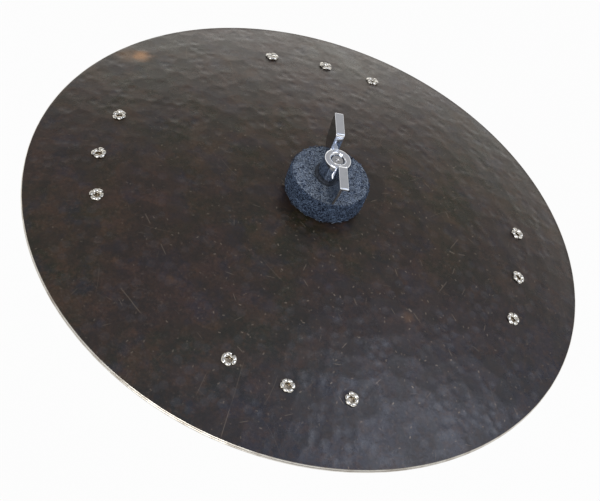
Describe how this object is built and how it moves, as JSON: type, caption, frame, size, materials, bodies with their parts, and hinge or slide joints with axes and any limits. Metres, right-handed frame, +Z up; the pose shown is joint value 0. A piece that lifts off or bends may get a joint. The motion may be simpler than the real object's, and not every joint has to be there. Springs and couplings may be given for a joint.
{
  "type": "effect cymbal",
  "caption": "Dark hammered effect cymbal: domed plates riveted loosely together, held between felts on a threaded stud with a wing nut, on a socket that screws to a stand.",
  "frame": {"origin": "centre of the stand socket's mouth, at the bottom of the coupling", "axes": "+Z up along the stud, +X and +Y across the plates, with a rivet group near each axis"},
  "size_m": [0.254, 0.254, 0.0702],
  "materials": {
    "patinated_bronze": "dark hammered patina, satin, with fine scratches and a bare edge",
    "rivet_nickel": "bright plated",
    "grey_felt": "pressed wool felt, flecked",
    "chromed_steel": "polished chrome",
    "blackened_steel": "blackened, matt",
    "plated_steel": "satin plated",
    "nylon": "natural nylon"
  },
  "bodies": {
    "stud": {"stud_base": "plated_steel", "stud_rod": "plated_steel", "sleeve": "nylon", "cup_washer": "plated_steel"},
    "felts": {"upper_felt": "grey_felt", "lower_felt": "grey_felt"},
    "lower_plate": {"bottom_plate": "patinated_bronze"},
    "upper_plate": {"top_plate": "patinated_bronze"},
    "nut_foot": {"nut_washer": "blackened_steel"},
    "nut": {"wing_nut": "chromed_steel"},
    "rivet_01": {"rivet_01": "rivet_nickel"},
    "rivet_02": {"rivet_02": "rivet_nickel"},
    "rivet_03": {"rivet_03": "rivet_nickel"},
    "rivet_04": {"rivet_04": "rivet_nickel"},
    "rivet_05": {"rivet_05": "rivet_nickel"},
    "rivet_06": {"rivet_06": "rivet_nickel"},
    "rivet_07": {"rivet_07": "rivet_nickel"},
    "rivet_08": {"rivet_08": "rivet_nickel"},
    "rivet_09": {"rivet_09": "rivet_nickel"},
    "rivet_10": {"rivet_10": "rivet_nickel"},
    "rivet_11": {"rivet_11": "rivet_nickel"},
    "rivet_12": {"rivet_12": "rivet_nickel"}
  },
  "joints": [
    {"name": "cymbal_spin", "type": "hinge", "parent": "stud", "child": "felts", "pos_m": [0, 0, 0.0417], "axis": [0, 0, 1], "continuous": true},
    {"name": "cymbal_rock", "type": "hinge", "parent": "felts", "child": "lower_plate", "pos_m": [0, 0, 0.0417], "axis": [1, 0, 0], "range_deg": [-8, 8], "stiffness_Nm_per_rad": 0.8, "deforming": ["upper_felt", "lower_felt"]},
    {"name": "plate_chatter", "type": "slide", "parent": "lower_plate", "child": "upper_plate", "axis": [0, 0, 1], "range_m": [0, 0.0005], "deforming": ["upper_felt"]},
    {"name": "nut_lift", "type": "slide", "parent": "stud", "child": "nut_foot", "axis": [0, 0, 1], "range_m": [0, 0.005]},
    {"name": "nut_turn", "type": "hinge", "parent": "nut_foot", "child": "nut", "pos_m": [0, 0, 0.05565], "axis": [0, 0, 1], "range_deg": [0, 1800]},
    {"name": "rivet_01_rattle", "type": "slide", "parent": "upper_plate", "child": "rivet_01", "axis": [0.2254, -0.0752, 0.9714], "range_m": [0, 0.0006]},
    {"name": "rivet_02_rattle", "type": "slide", "parent": "upper_plate", "child": "rivet_02", "axis": [0.2308, -0.0153, 0.9729], "range_m": [0, 0.0006]},
    {"name": "rivet_03_rattle", "type": "slide", "parent": "upper_plate", "child": "rivet_03", "axis": [0.2298, 0.0503, 0.9719], "range_m": [0, 0.0006]},
    {"name": "rivet_04_rattle", "type": "slide", "parent": "upper_plate", "child": "rivet_04", "axis": [0.0474, 0.2341, 0.9711], "range_m": [0, 0.0006]},
    {"name": "rivet_05_rattle", "type": "slide", "parent": "upper_plate", "child": "rivet_05", "axis": [-0.0107, 0.2352, 0.9719], "range_m": [0, 0.0006]},
    {"name": "rivet_06_rattle", "type": "slide", "parent": "upper_plate", "child": "rivet_06", "axis": [-0.0747, 0.2251, 0.9715], "range_m": [0, 0.0006]},
    {"name": "rivet_07_rattle", "type": "slide", "parent": "upper_plate", "child": "rivet_07", "axis": [-0.2254, 0.0581, 0.9725], "range_m": [0, 0.0006]},
    {"name": "rivet_08_rattle", "type": "slide", "parent": "upper_plate", "child": "rivet_08", "axis": [-0.2354, -0.0045, 0.9719], "range_m": [0, 0.0006]},
    {"name": "rivet_09_rattle", "type": "slide", "parent": "upper_plate", "child": "rivet_09", "axis": [-0.2259, -0.0629, 0.9721], "range_m": [0, 0.0006]},
    {"name": "rivet_10_rattle", "type": "slide", "parent": "upper_plate", "child": "rivet_10", "axis": [-0.0642, -0.2245, 0.9723], "range_m": [0, 0.0006]},
    {"name": "rivet_11_rattle", "type": "slide", "parent": "upper_plate", "child": "rivet_11", "axis": [-0.0041, -0.2369, 0.9715], "range_m": [0, 0.0006]},
    {"name": "rivet_12_rattle", "type": "slide", "parent": "upper_plate", "child": "rivet_12", "axis": [0.0599, -0.2325, 0.9708], "range_m": [0, 0.0006]}
  ],
  "couplings": [
    {"joint": "nut_lift", "follows": "nut_turn", "m_per_rad": 0.00015915}
  ]
}
